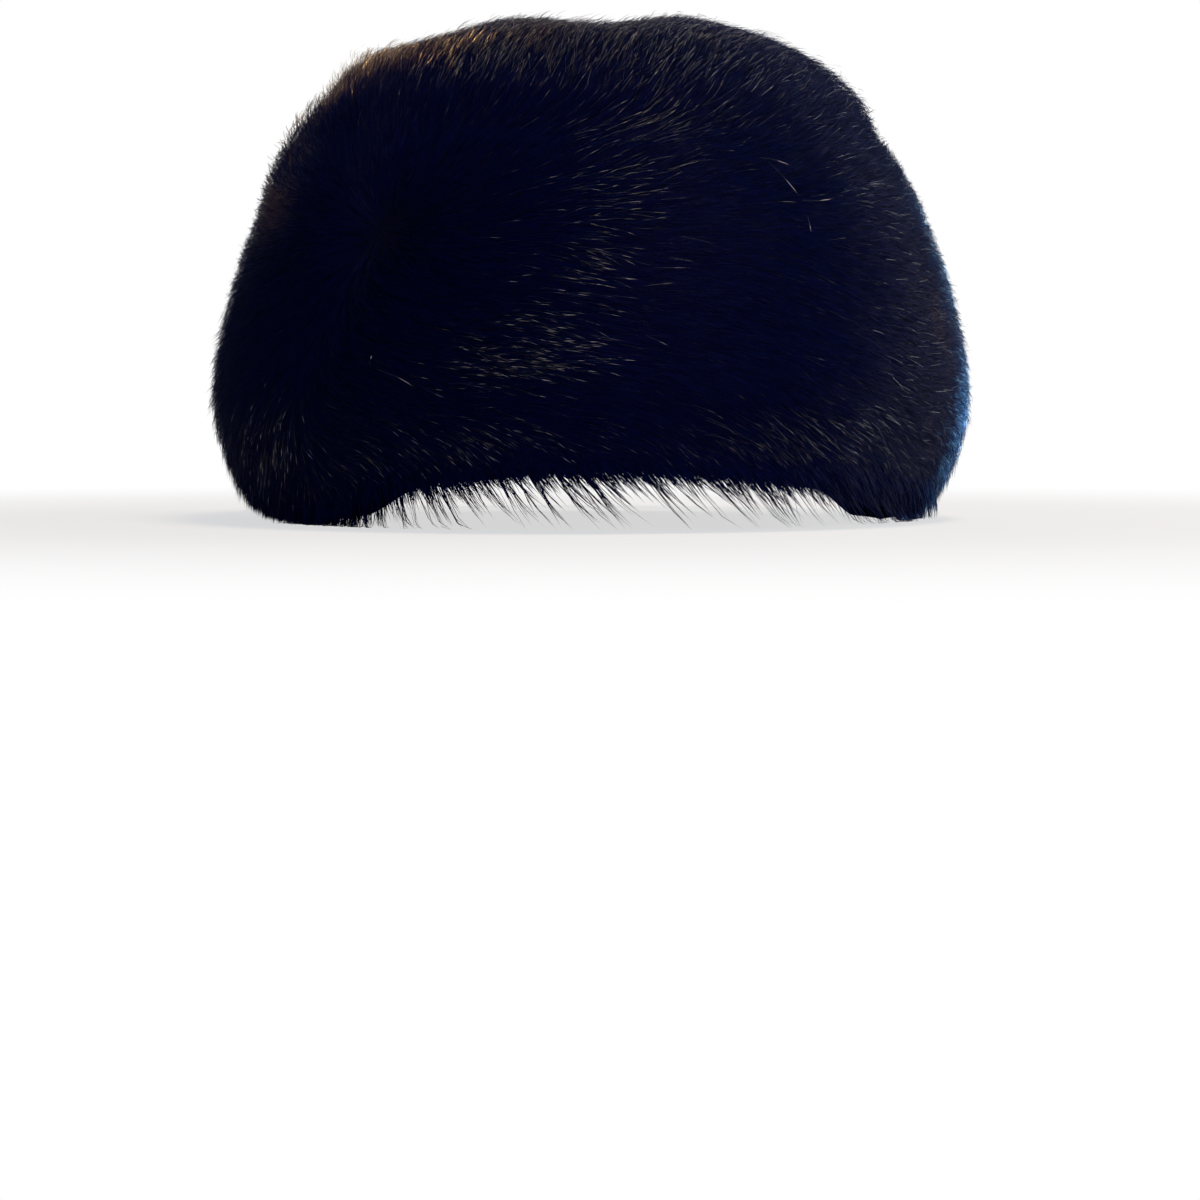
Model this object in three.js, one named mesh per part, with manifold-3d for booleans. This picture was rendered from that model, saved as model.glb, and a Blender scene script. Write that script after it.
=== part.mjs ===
// A black fur hat in the shape of a soft dome. A thin hollow cap carries the fur, which comes in two
// parts: the crown and a deep side band that rolls under at the rim. The fur is modelled as locks that
// are fused to a backing and follow the lie of the hair.
// Millimetres, +Z up. The origin is on the surface that the hat rests on, below its middle, and the
// front of the hat faces -Y.

import * as THREE from "three";
import { mergeVertices } from "three/addons/utils/BufferGeometryUtils.js";
import Module from "manifold-3d";

// Driving sizes
const DEPTH_TO_WIDTH = 1.25; // plan of the hat, front to back against side to side
const EGG = 0.03; // how much narrower the plan is at the front
const CROWN_LEAN = 5; // the crown's top sits this far behind the middle
const RIM_RISE_FADES_AT = 62; // height at which the rise of the rim is gone
const SEAM_HEIGHT = 93; // the seam between crown and side band, on the middle line
const SEAM_TILT = THREE.MathUtils.degToRad(3); // the seam is higher on the right
const SEAM_GAP = 0.4;
const GAP = 0.36; // between the fur's backing and the cap
const BACKING = 0.48; // the backing fills this share of the depth of the fur

// Half of the hat's section at its side, from the top of the crown to the rim. Each row has the half
// width and the height of three skins: the fur's outside, and the cap's outside and inside.
const SECTION = [
  { at: "crown top", fur: [0, 131.5], cap: [0, 119.5], inside: [0, 117] },
  { at: "crown middle", fur: [33, 131], cap: [30, 118], inside: [29, 115.5] },
  { at: "crown edge", fur: [57, 123.5], cap: [49, 112.6], inside: [47.6, 110.4] },
  { at: "shoulder", fur: [71.5, 110.5], cap: [63, 102.2], inside: [61.1, 100.4] },
  { at: "seam", fur: [79, 98.5], cap: [70, 93], inside: [67.7, 92] },
  { at: "upper band", fur: [86, 86], cap: [76, 82.5], inside: [73.6, 81.8] },
  { at: "middle of band", fur: [95, 62], cap: [83.5, 60], inside: [81.1, 59.6] },
  { at: "fullest", fur: [100.3, 34], cap: [88, 34], inside: [85.5, 34] },
  { at: "roll", fur: [97, 16], cap: [86, 20], inside: [83.6, 20.8] },
  { at: "turn", fur: [90, 6], cap: [82, 11.5], inside: [79.5, 12.4] },
  { at: "foot", fur: [80.5, 0], cap: [78, 7], inside: [75.5, 7] },
];

// How high the rim hangs above the surface, by azimuth in degrees from the front towards the right. It
// is lifted over the brow, more so on the right, and less over the nape, and it rests on the two sides.
const RIM = [
  { azimuth: -180, rise: 11 },
  { azimuth: -150, rise: 8 },
  { azimuth: -118, rise: 0 },
  { azimuth: -66, rise: 0 },
  { azimuth: -50, rise: 2.5 },
  { azimuth: -30, rise: 11.2 },
  { azimuth: -12, rise: 14.5 },
  { azimuth: 15, rise: 14.5 },
  { azimuth: 40, rise: 12 },
  { azimuth: 65, rise: 8.5 },
  { azimuth: 88, rise: 0 },
  { azimuth: 111, rise: 0 },
  { azimuth: 128, rise: 7 },
  { azimuth: 150, rise: 10 },
  { azimuth: 180, rise: 11 },
];

// Dents and swellings of the soft form: where they lie, how deep they are (swellings are negative), how
// wide they are and how far they run from front to back.
const DENTS = [
  { at: "right shoulder", x: 79, y: -8, z: 98, depth: 2.4, reach: 10, run: 10 },
  { at: "right of crown", x: 70, y: -5, z: 114, depth: -1.6, reach: 12, run: 12 },
  { at: "left shoulder", x: -86, y: -8, z: 83, depth: 1.6, reach: 9, run: 9 },
  { at: "left of crown", x: -82, y: -5, z: 95, depth: -3.6, reach: 14, run: 14 },
  { at: "left edge of crown", x: -62, y: 0, z: 119, depth: -2, reach: 9, run: 20 },
  { at: "saddle of crown", x: 2, y: 0, z: 133, depth: 6, reach: 13, run: 50 },
  { at: "crown right", x: 22, y: 0, z: 131, depth: -2.6, reach: 12, run: 22 },
  { at: "crown left", x: -40, y: 0, z: 129, depth: 3.2, reach: 12, run: 40 },
  { at: "front left", x: -40, y: -104, z: 60, depth: 1.6, reach: 26, run: 26 },
  { at: "front right", x: 46, y: -92, z: 92, depth: 1.5, reach: 20, run: 20 },
  { at: "back", x: -12, y: 112, z: 72, depth: 2.2, reach: 26, run: 26 },
  { at: "back right", x: 60, y: 84, z: 96, depth: 1.8, reach: 20, run: 20 },
  { at: "back left", x: -66, y: 78, z: 50, depth: -1.4, reach: 24, run: 24 },
];
const DENT_CENTRE = new THREE.Vector3(0, 0, 45); // dents push towards this point
const DENT_SHARE_OF_CAP = 0.6; // the cap under the fur takes part of each dent
const FLAT_BELOW = 15; // no dent is at its full depth below this height

// The lie of the hair. It parts at a whorl on the front left, sweeps round both sides of the band and
// falls at the back. On the crown it runs backwards.
const WHORL = { azimuth: THREE.MathUtils.degToRad(-35), level: 0.6 };
const PARTING_DRIFT = THREE.MathUtils.degToRad(-50); // azimuth of the parting, from the whorl to the rim
const CROWN_LIE = THREE.MathUtils.degToRad(75); // 90 degrees is straight back
const CROWN_ENDS = 0.34; // levels between which the crown's lie turns into the band's
const BAND_STARTS = 0.48;
const BAND_RADIUS = 105; // mean radius of the band
const WHORL_REACH = 45; // the hair stands up at the whorl and lies flat from this distance
const DROOP = 0.42; // the low hair at the sides drops this much for each millimetre round
const DROOP_LEVELS = [0.06, 0.3]; // levels below the whorl between which the droop sets in
const DROOP_TURNS = [0.5, 1.4]; // the same for the angle from the parting, in radians
const FALL_FROM = THREE.MathUtils.degToRad(100); // away from the parting, the hair starts to fall
const FALL_BY = THREE.MathUtils.degToRad(165);

// Locks
const LOCK_COUNT = 170;
const LOCK_LENGTH = 44;
const LOCK_WIDTH = 21;
const LOCK_THICKNESS = 2.8;
const LOCK_SIZES = { least: 0.85, most: 1.15 }; // locks differ in size by these factors
const LOCK_MIDDLE = 0.45; // share of the length at which a lock is widest
const LOCK_ROOT_WIDTH = 0.7; // share of the width near the root
const LOCK_HEIGHTS = { root: 0.26, middle: 0.76, tip: 0.98 }; // shares of the depth of the fur
const LOCK_HEIGHTS_DIFFER = 0.06;
const SHORTEST_LOCK = 0.25; // locks get shorter towards the whorl, down to this share
const GOLDEN_ANGLE = Math.PI * (3 - Math.sqrt(5));
const LOWEST_LOCK = 0.93; // no lock starts below this level
const LOWEST_TIP = 0.985;
const LOWEST_HAIR = 0.25; // the locks end this much above the surface, so that the foot is flat
const FOOT_STARTS = 0.9; // the backing widens from this level to the fur's outside at the foot

// Meshing of the smooth skins
const COLUMNS = 36;
const ROWS = 12;
const SLIVER = 0.02; // cuts and joins leave slivers of about this size, which are smoothed away
const SMALL_STEP = 1e-3; // step on the flat disc for measuring how much the skin stretches it
const BIG = 600; // side of the boxes that cut the fur, larger than the hat

const wasm = await Module();
wasm.setup();

const clamp = THREE.MathUtils.clamp;
const smoothstep = (x, from, to) => THREE.MathUtils.smoothstep(x, from, to);

// The section's three skins as curves, and its length measured along the fur
const curveOf = (skin) => new THREE.SplineCurve(SECTION.map((row) => new THREE.Vector2(...row[skin])));
const SKINS = { fur: curveOf("fur"), cap: curveOf("cap"), inside: curveOf("inside") };
const STATIONS = SECTION.reduce((sums, row, i) => {
  const before = SECTION[i - 1] ?? row;
  const step = Math.hypot(row.fur[0] - before.fur[0], row.fur[1] - before.fur[1]);
  return [...sums, (sums.at(-1) ?? 0) + step];
}, []);
const SECTION_LENGTH = STATIONS.at(-1);

// The curves' own parameter at a level, which is 0 at the top of the crown and 1 at the foot
function curveParameter(level) {
  const along = clamp(level, 0, 1) * SECTION_LENGTH;
  const row = Math.max(0, STATIONS.findIndex((s) => s >= along - 1e-9) - 1);
  const share = (along - STATIONS[row]) / (STATIONS[row + 1] - STATIONS[row]);
  return (row + share) / (SECTION.length - 1);
}

// The rim's rise at an azimuth, eased between the rows of its table
function rimRise(azimuth) {
  const degrees = THREE.MathUtils.euclideanModulo(THREE.MathUtils.radToDeg(azimuth) + 180, 360) - 180;
  const after = Math.max(1, RIM.findIndex((row) => row.azimuth >= degrees));
  const [a, b] = [RIM[after - 1], RIM[after]];
  return THREE.MathUtils.lerp(a.rise, b.rise, smoothstep(degrees, a.azimuth, b.azimuth));
}

// A point of the section, turned to its azimuth on the egg-shaped plan, with the rim's rise and the lean
function placed(radius, height, azimuth) {
  const low = clamp(1 - height / RIM_RISE_FADES_AT, 0, 1);
  const top = clamp(height / SECTION[0].fur[1], 0, 1);
  return new THREE.Vector3(
    radius * Math.sin(azimuth) * (1 - EGG * Math.cos(azimuth)),
    -radius * DEPTH_TO_WIDTH * Math.cos(azimuth) + CROWN_LEAN * top ** 2,
    height + rimRise(azimuth) * low ** 1.5,
  );
}

// Dents fade out near the surface the hat rests on, so that its foot stays flat.
function dented(point, share) {
  const outwards = point.clone().sub(DENT_CENTRE).normalize();
  let push = 0;
  for (const dent of DENTS) {
    const across = Math.hypot(point.x - dent.x, point.z - dent.z) / dent.reach;
    const along = (point.y - dent.y) / dent.run;
    push += dent.depth * Math.exp(-(across ** 2) - along ** 2);
  }
  return point.addScaledVector(outwards, -push * share * smoothstep(point.z, 0, FLAT_BELOW));
}

function skinPoint(skin, azimuth, level) {
  const { x, y } = SKINS[skin].getPoint(curveParameter(level));
  return dented(placed(x, y, azimuth), skin === "fur" ? 1 : DENT_SHARE_OF_CAP);
}

// A point in the fur. Its place is a vector in a flat disc whose middle is the top of the crown and
// whose edge is the foot, and height is 0 on the cap and 1 on the fur's outside.
function furPoint(place, height) {
  const azimuth = Math.atan2(place.x, -place.y);
  const level = place.length();
  return skinPoint("cap", azimuth, level).lerp(skinPoint("fur", azimuth, level), height);
}

// Which way the hair lies at a place, as a small step in the disc
function lieAt(place) {
  const level = Math.max(place.length(), SMALL_STEP);
  const azimuth = Math.atan2(place.x, -place.y);
  const below = level - WHORL.level;
  const parting = WHORL.azimuth + Math.max(0, below) * PARTING_DRIFT;
  const turn = THREE.MathUtils.euclideanModulo(azimuth - parting + Math.PI, 2 * Math.PI) - Math.PI;
  const band = new THREE.Vector2(turn * BAND_RADIUS, below * SECTION_LENGTH);
  const strength = smoothstep(band.length(), 0, WHORL_REACH);
  band.normalize();
  band.y += DROOP * smoothstep(below, ...DROOP_LEVELS) * smoothstep(Math.abs(turn), ...DROOP_TURNS);
  band.lerp(new THREE.Vector2(0, 1), smoothstep(Math.abs(turn), FALL_FROM, FALL_BY)).normalize();
  const around = new THREE.Vector2(Math.cos(azimuth), Math.sin(azimuth));
  const down = place.clone().divideScalar(level);
  const bandStep = around
    .multiplyScalar((band.x * level) / BAND_RADIUS)
    .addScaledVector(down, band.y / SECTION_LENGTH);
  const crownStep = new THREE.Vector2(Math.cos(CROWN_LIE), Math.sin(CROWN_LIE)).divideScalar(SECTION_LENGTH);
  const crownShare = 1 - smoothstep(level, CROWN_ENDS, BAND_STARTS);
  return bandStep.lerp(crownStep, crownShare).multiplyScalar(Math.max(strength, crownShare));
}

// A closed mesh from rings of points that run from one pole to the other
function geometryOfRings(firstPole, rings, lastPole) {
  const columns = rings[0].length;
  const points = [firstPole, ...rings.flat(), lastPole];
  const triangles = [];
  const vertex = (ring, column) => 1 + ring * columns + (column % columns);
  for (let c = 0; c < columns; c++) {
    triangles.push(0, vertex(0, c), vertex(0, c + 1));
    for (let r = 0; r < rings.length - 1; r++) {
      const [a, b] = [vertex(r, c), vertex(r, c + 1)];
      const [d, e] = [vertex(r + 1, c), vertex(r + 1, c + 1)];
      triangles.push(a, d, e, a, e, b);
    }
    triangles.push(points.length - 1, vertex(rings.length - 1, c + 1), vertex(rings.length - 1, c));
  }
  return new THREE.BufferGeometry().setFromPoints(points).setIndex(triangles);
}

const azimuthOf = (column) => (2 * Math.PI * column) / COLUMNS;
const ring = (pointAt) => Array.from({ length: COLUMNS }, (_, c) => pointAt(azimuthOf(c)));
const levels = Array.from({ length: ROWS }, (_, r) => (r + 1) / ROWS);

function placeOf(azimuth, level) {
  return new THREE.Vector2(Math.sin(azimuth), -Math.cos(azimuth)).multiplyScalar(level);
}

// The hollow cap: down its outside, across the rim and up its inside
function capGeometry() {
  const outside = levels.map((level) => ring((azimuth) => skinPoint("cap", azimuth, level)));
  const inside = levels.map((level) => ring((azimuth) => skinPoint("inside", azimuth, level))).reverse();
  return geometryOfRings(skinPoint("cap", 0, 0), [...outside, ...inside], skinPoint("inside", 0, 0));
}

// The backing that the locks grow from: down its outside, across the flat foot, up past the rim of the
// cap and back along the cap
function backingGeometry() {
  const foot = SECTION.at(-1);
  const edge = foot.inside[0] + GAP;
  const gapShare = (level) => GAP / Math.hypot(
    SKINS.fur.getPoint(curveParameter(level)).x - SKINS.cap.getPoint(curveParameter(level)).x,
    SKINS.fur.getPoint(curveParameter(level)).y - SKINS.cap.getPoint(curveParameter(level)).y,
  );
  const heightAt = (level) => BACKING + (1 - BACKING) * smoothstep(level, FOOT_STARTS, 1);
  const outside = levels.map((level) => ring((a) => furPoint(placeOf(a, level), heightAt(level))));
  const floorEdge = ring((a) => placed(edge, 0, a));
  const underCap = ring((a) => placed(edge, foot.cap[1] - GAP, a));
  const along = levels.map((level) => ring((a) => furPoint(placeOf(a, level), gapShare(level)))).reverse();
  along[0] = ring((a) => placed(foot.cap[0] + GAP, foot.cap[1] - GAP, a));
  const top = new THREE.Vector2(0, 0);
  return geometryOfRings(
    furPoint(top, BACKING),
    [...outside, floorEdge, underCap, ...along],
    furPoint(top, gapShare(0)),
  );
}

// A number from 0 to 1 that depends on a lock's index and on what it is for
function scatter(index, use) {
  const value = Math.sin(index * 127.1 + use * 311.7) * 43758.5453;
  return value - Math.floor(value);
}

// One lock: a tapered ridge section swept along the lie of the hair, its root in the backing
function lockGeometry(root, index) {
  const size = THREE.MathUtils.lerp(LOCK_SIZES.least, LOCK_SIZES.most, scatter(index, 1));
  const strength = clamp(lieAt(root).length() * SECTION_LENGTH, SHORTEST_LOCK, 1);
  const stepTo = (place, distance) => {
    const lie = lieAt(place);
    const small = lie.clone().setLength(SMALL_STEP);
    const stretch = furPoint(place.clone().sub(small), 1).distanceTo(furPoint(place, 1));
    const next = place.clone().addScaledVector(small, distance / stretch);
    return next.clampLength(0, LOWEST_TIP);
  };
  const length = LOCK_LENGTH * size * strength;
  const middle = stepTo(root, length * LOCK_MIDDLE);
  const tip = stepTo(middle, length * (1 - LOCK_MIDDLE));
  const rise = LOCK_HEIGHTS_DIFFER * (scatter(index, 2) - 0.5);
  const line = [
    furPoint(root, LOCK_HEIGHTS.root),
    furPoint(middle, LOCK_HEIGHTS.middle + rise),
    furPoint(tip, LOCK_HEIGHTS.tip + rise),
  ];
  const section = (place, centre, share) => {
    const up = furPoint(place, 1).sub(furPoint(place, 0)).normalize();
    const along = line[2].clone().sub(line[0]).normalize();
    const across = along.clone().cross(up).normalize();
    const half = (LOCK_WIDTH * size * share) / 2;
    return [
      centre.clone().addScaledVector(across, half),
      centre.clone().addScaledVector(up, LOCK_THICKNESS * share),
      centre.clone().addScaledVector(across, -half),
    ];
  };
  return geometryOfRings(
    line[0].clone(),
    [section(root, line[0], LOCK_ROOT_WIDTH), section(middle, line[1], 1)],
    line[2],
  );
}

// The levels at which each share of the hat's surface is passed, so that locks are spread evenly
function levelOfArea(share) {
  const areas = [0];
  const steps = 120;
  for (let i = 1; i <= steps; i++) {
    areas.push(areas.at(-1) + SKINS.fur.getPoint(curveParameter((i - 0.5) / steps)).x);
  }
  const wanted = share * areas.at(-1);
  return areas.findIndex((area) => area >= wanted) / steps;
}

function lockPlaces() {
  return Array.from({ length: LOCK_COUNT }, (_, i) => {
    const level = levelOfArea((i + 0.5) / LOCK_COUNT) * LOWEST_LOCK;
    return placeOf(i * GOLDEN_ANGLE, level);
  });
}

// Between three.js and manifold-3d
function solidOf(geometry) {
  const bare = geometry.index ? geometry.toNonIndexed() : geometry.clone();
  bare.deleteAttribute("normal");
  bare.deleteAttribute("uv");
  const merged = mergeVertices(bare, 1e-4);
  return new wasm.Manifold(
    new wasm.Mesh({
      numProp: 3,
      vertProperties: new Float32Array(merged.attributes.position.array),
      triVerts: new Uint32Array(merged.index.array),
    }),
  );
}

function geometryOf(solid) {
  const mesh = solid.getMesh();
  const geometry = new THREE.BufferGeometry();
  geometry.setAttribute("position", new THREE.BufferAttribute(mesh.vertProperties, 3));
  geometry.setIndex(new THREE.BufferAttribute(mesh.triVerts, 1));
  geometry.computeVertexNormals();
  return geometry;
}

// A big box whose bottom or top face is the seam, for cutting the fur in two
function halfSpace(above) {
  const box = new THREE.BoxGeometry(BIG, BIG, BIG);
  box.translate(0, 0, (above ? 1 : -1) * (BIG / 2 + SEAM_GAP / 2));
  box.rotateY(-SEAM_TILT);
  box.translate(0, 0, SEAM_HEIGHT);
  return solidOf(box);
}

// The largest body of a solid, without slivers. The seam cuts off the tips of some locks, and those
// are dropped.
function mainBody(solid) {
  return solid.simplify(SLIVER).decompose().reduce((a, b) => (a.volume() > b.volume() ? a : b));
}

function furSolids() {
  const floor = new THREE.BoxGeometry(BIG, BIG, BIG);
  floor.translate(0, 0, LOWEST_HAIR - BIG / 2);
  const locks = lockPlaces().map((place, i) => solidOf(lockGeometry(place, i)));
  const cutLocks = locks.reduce((all, lock) => all.add(lock)).subtract(solidOf(floor));
  const fur = solidOf(backingGeometry()).add(cutLocks);
  return { crown: mainBody(fur.intersect(halfSpace(true))), band: mainBody(fur.intersect(halfSpace(false))) };
}

function named(name, geometry, material) {
  const mesh = new THREE.Mesh(geometry, material);
  mesh.name = name;
  return mesh;
}

const furMaterial = new THREE.MeshStandardMaterial({ color: 0x0b0a0c, roughness: 0.55, metalness: 0 });
const capMaterial = new THREE.MeshStandardMaterial({ color: 0x15130f, roughness: 0.8, metalness: 0 });

const { crown, band } = furSolids();
const hat = new THREE.Group();
hat.add(named("cap", capGeometry(), capMaterial));
hat.add(named("crown_fur", geometryOf(crown), furMaterial));
hat.add(named("side_band_fur", geometryOf(band), furMaterial));
export default hat;
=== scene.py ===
# %% [markdown]
# # A black fur hat
# This lesson dresses a plain model of a hat in fur. The model has three solids: a thin hollow cap, the
# fur of the crown and the fur of the side band. Each is replaced here by something finer: the cap by a
# smooth cloth-like shell, and each fur solid by a dark bed of underfur with long guard hairs on it.
# The front of the hat faces -Y and it rests on the plane z = 0. The scene is in metres, while the tables
# and the work on the hairs are in millimetres.

import math

import bpy
import numpy as np
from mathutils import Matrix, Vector


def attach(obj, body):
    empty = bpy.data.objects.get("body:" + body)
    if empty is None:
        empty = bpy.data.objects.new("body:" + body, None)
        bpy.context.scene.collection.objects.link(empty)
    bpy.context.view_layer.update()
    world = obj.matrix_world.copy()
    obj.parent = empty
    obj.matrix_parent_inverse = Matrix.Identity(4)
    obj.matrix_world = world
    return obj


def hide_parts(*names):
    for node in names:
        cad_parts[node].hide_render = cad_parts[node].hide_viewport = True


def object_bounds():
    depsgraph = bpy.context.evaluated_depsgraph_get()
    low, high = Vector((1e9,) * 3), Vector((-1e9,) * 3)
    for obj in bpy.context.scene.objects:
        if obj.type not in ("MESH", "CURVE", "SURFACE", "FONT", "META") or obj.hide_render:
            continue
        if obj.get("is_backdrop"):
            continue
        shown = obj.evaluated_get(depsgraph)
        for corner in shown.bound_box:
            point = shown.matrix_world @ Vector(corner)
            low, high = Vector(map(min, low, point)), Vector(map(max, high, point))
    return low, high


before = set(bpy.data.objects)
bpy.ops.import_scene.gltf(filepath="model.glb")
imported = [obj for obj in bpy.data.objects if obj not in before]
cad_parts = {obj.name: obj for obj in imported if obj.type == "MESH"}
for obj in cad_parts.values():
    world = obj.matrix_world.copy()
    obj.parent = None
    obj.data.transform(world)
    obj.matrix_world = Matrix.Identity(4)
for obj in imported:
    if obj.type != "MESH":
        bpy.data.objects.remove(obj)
solid_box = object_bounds()
MM = 0.001
rng = np.random.default_rng(11)
print("solids", sorted(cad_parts), "box", [tuple(round(c, 4) for c in p) for p in solid_box])

# %% [markdown]
# ## The form
# A fur hat is a body of revolution that was pulled longer from front to back and then dented by hand.
# It could be sculpted, but a table of a few sections says the same in a form that is easy to change.
# Each row below is one station from the top of the crown down to the foot, with the half width and the
# height in millimetres of the fur's outside, and of the cap's outside and inside.

# %% Sections of the hat
SECTION = [
    ("crown top", (0, 131.5), (0, 119.5), (0, 117)),
    ("crown middle", (33, 131), (30, 118), (29, 115.5)),
    ("crown edge", (57, 123.5), (49, 112.6), (47.6, 110.4)),
    ("shoulder", (71.5, 110.5), (63, 102.2), (61.1, 100.4)),
    ("seam", (79, 98.5), (70, 93), (67.7, 92)),
    ("upper band", (86, 86), (76, 82.5), (73.6, 81.8)),
    ("middle of band", (95, 62), (83.5, 60), (81.1, 59.6)),
    ("fullest", (100.3, 34), (88, 34), (85.5, 34)),
    ("roll", (97, 16), (86, 20), (83.6, 20.8)),
    ("turn", (90, 6), (82, 11.5), (79.5, 12.4)),
    ("foot", (80.5, 0), (78, 7), (75.5, 7)),
]
RIM = [  # degrees from the front towards the right, rise of the rim above the floor in millimetres
    (-180, 11), (-150, 8), (-118, 0), (-66, 0), (-50, 2.5), (-30, 11.2), (-12, 14.5), (15, 14.5),
    (40, 12), (65, 8.5), (88, 0), (111, 0), (128, 7), (150, 10), (180, 11),
]
DENTS = [  # x, y, z, depth, reach, run from front to back
    (79, -8, 98, 2.4, 10, 10),
    (70, -5, 114, -1.6, 12, 12),
    (-86, -8, 83, 1.6, 9, 9),
    (-82, -5, 95, -3.6, 14, 14),
    (-62, 0, 119, -2, 9, 20),
    (2, 0, 133, 6, 13, 50),
    (22, 0, 131, -2.6, 12, 22),
    (-40, 0, 129, 3.2, 12, 40),
    (-40, -104, 60, 1.6, 26, 26),
    (46, -92, 92, 1.5, 20, 20),
    (-12, 112, 72, 2.2, 26, 26),
    (60, 84, 96, 1.8, 20, 20),
    (-66, 78, 50, -1.4, 24, 24),
]
DENT_CENTRE = np.array([0, 0, 45])  # the point that dents are pushed towards
FLAT_BELOW = 15  # dents fade out below this height, so that the foot stays level
CAP_SHARE = 0.6  # the cap under the fur takes this share of each dent
DEPTH_TO_WIDTH = 1.25
EGG = 0.03  # the back is wider than the middle by this share, and the front narrower
CROWN_LEAN = 5  # how far the top stands behind the foot
RISE_ENDS_AT, RISE_CURVE = 62, 1.5  # the rise of the rim fades out upwards, to nothing at this height
SEAM_HEIGHT, SEAM_TILT = 93, math.radians(3)
print(len(SECTION), "sections,", len(RIM), "heights of the rim,", len(DENTS), "dents and swellings")

# %% [markdown]
# ## A smooth line through the stations
# The same smooth curve runs through the stations of each skin. A level says how far down the hat a point
# is, from 0 on the crown to 1 at the foot, measured along the fur's outside.

# %% Curves and levels
fur_rows, cap_rows, inside_rows = (np.array([row[k] for row in SECTION], float) for k in (1, 2, 3))
stations = np.concatenate([[0], np.cumsum(np.linalg.norm(np.diff(fur_rows, axis=0), axis=1))])
SECTION_LENGTH = stations[-1]


def curve_at(rows, level):
    """Half width and height on a Catmull-Rom curve through the rows."""
    t = np.interp(np.clip(level, 0, 1) * SECTION_LENGTH, stations, np.arange(len(rows)))
    i = np.minimum(t.astype(int), len(rows) - 2)
    t = (t - i)[..., None]
    p0, p1 = rows[np.maximum(i - 1, 0)], rows[i]
    p2, p3 = rows[i + 1], rows[np.minimum(i + 2, len(rows) - 1)]
    v0, v1 = (p2 - p0) / 2, (p3 - p1) / 2
    return (2 * p1 - 2 * p2 + v0 + v1) * t**3 + (3 * p2 - 3 * p1 - 2 * v0 - v1) * t**2 + v0 * t + p1


def ease(x, low, high):
    """Smooth step from 0 at low to 1 at high."""
    t = np.clip((x - low) / (high - low), 0, 1)
    return t * t * (3 - 2 * t)


print("section length", round(SECTION_LENGTH, 1), "mm")

# %% Skin of the hat
TINY = 1e-9  # keeps a division from failing where a length is zero


def unit(vectors, tiny=0.0):
    """The same directions with a length of one."""
    return vectors / (np.linalg.norm(vectors, axis=-1, keepdims=True) + tiny)


def rim_rise(azimuth):
    """How far the rim stands above the floor."""
    degrees = (np.degrees(azimuth) + 180) % 360 - 180
    at, rise = np.array(RIM, float).T
    k = np.clip(np.searchsorted(at, degrees), 1, len(at) - 1)
    return rise[k - 1] + (rise[k] - rise[k - 1]) * ease(degrees, at[k - 1], at[k])


def skin(rows, level, azimuth, dent_share=1.0):
    """Points of one skin of the hat, in millimetres."""
    radius, height = np.moveaxis(curve_at(rows, level), -1, 0)
    low = np.clip(1 - height / RISE_ENDS_AT, 0, 1)
    top = np.clip(height / fur_rows[0, 1], 0, 1)
    across = radius * np.sin(azimuth) * (1 - EGG * np.cos(azimuth))
    back = -radius * DEPTH_TO_WIDTH * np.cos(azimuth) + CROWN_LEAN * top**2
    points = np.stack([across, back, height + rim_rise(azimuth) * low**RISE_CURVE], -1)
    push = np.zeros(points.shape[:-1])
    for x, y, z, depth, reach, run in DENTS:
        seen_away = ((points[..., 0] - x) ** 2 + (points[..., 2] - z) ** 2) / reach**2
        push += depth * np.exp(-seen_away - ((points[..., 1] - y) / run) ** 2)
    outwards = unit(points - DENT_CENTRE)
    return points - outwards * (push * dent_share * ease(points[..., 2], 0, FLAT_BELOW))[..., None]


print("rim at the front, right and back", rim_rise(np.radians([0, 90, 180])).round(1), "mm above the floor")

# %% [markdown]
# ## A flat map of the hat
# Hair is easier to comb on paper. The hat is laid flat on a disc: the middle of the disc is the top of
# the crown, its edge is the foot, and the front is at the bottom. Everything that the hairs need to know
# at a place, such as where the skin is and which way is outwards, is worked out once for each cell of
# this map and then looked up.

# %% Map of the skin
MAP_CELLS = 401
MAP_EDGE = 1.02  # a little past the foot
map_axis = np.linspace(-MAP_EDGE, MAP_EDGE, MAP_CELLS)
map_x, map_y = np.meshgrid(map_axis, map_axis, indexing="ij")
map_level, map_azimuth = np.hypot(map_x, map_y), np.arctan2(map_x, -map_y)
fur_map = skin(fur_rows, map_level, map_azimuth)
cap_map = skin(cap_rows, map_level, map_azimuth, CAP_SHARE)
cell = map_axis[1] - map_axis[0]
along_x, along_y = np.gradient(fur_map, cell, axis=0), np.gradient(fur_map, cell, axis=1)
out_map = unit(np.cross(along_x, along_y), TINY)
print("map of", MAP_CELLS, "cells a side, one cell is", round(cell * SECTION_LENGTH, 2), "mm")

# %% Places on the map


def on_map(level, azimuth):
    """Places on the map, from how far down the hat and how far round it they are."""
    return np.stack([level * np.sin(azimuth), -level * np.cos(azimuth)], -1)


def look(field, places):
    """A field of the map at any places on it, blended between the four nearest cells."""
    spot = (np.clip(places, -MAP_EDGE, MAP_EDGE) + MAP_EDGE) / (2 * MAP_EDGE) * (MAP_CELLS - 1)
    corner = np.minimum(spot.astype(int), MAP_CELLS - 2)
    (i, j), (a, b) = corner.T, (spot - corner).T
    if field.ndim == 3:
        a, b = a[:, None], b[:, None]
    low = field[i, j] * (1 - a) + field[i + 1, j] * a
    high = field[i, j + 1] * (1 - a) + field[i + 1, j + 1] * a
    return low * (1 - b) + high * b


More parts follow.
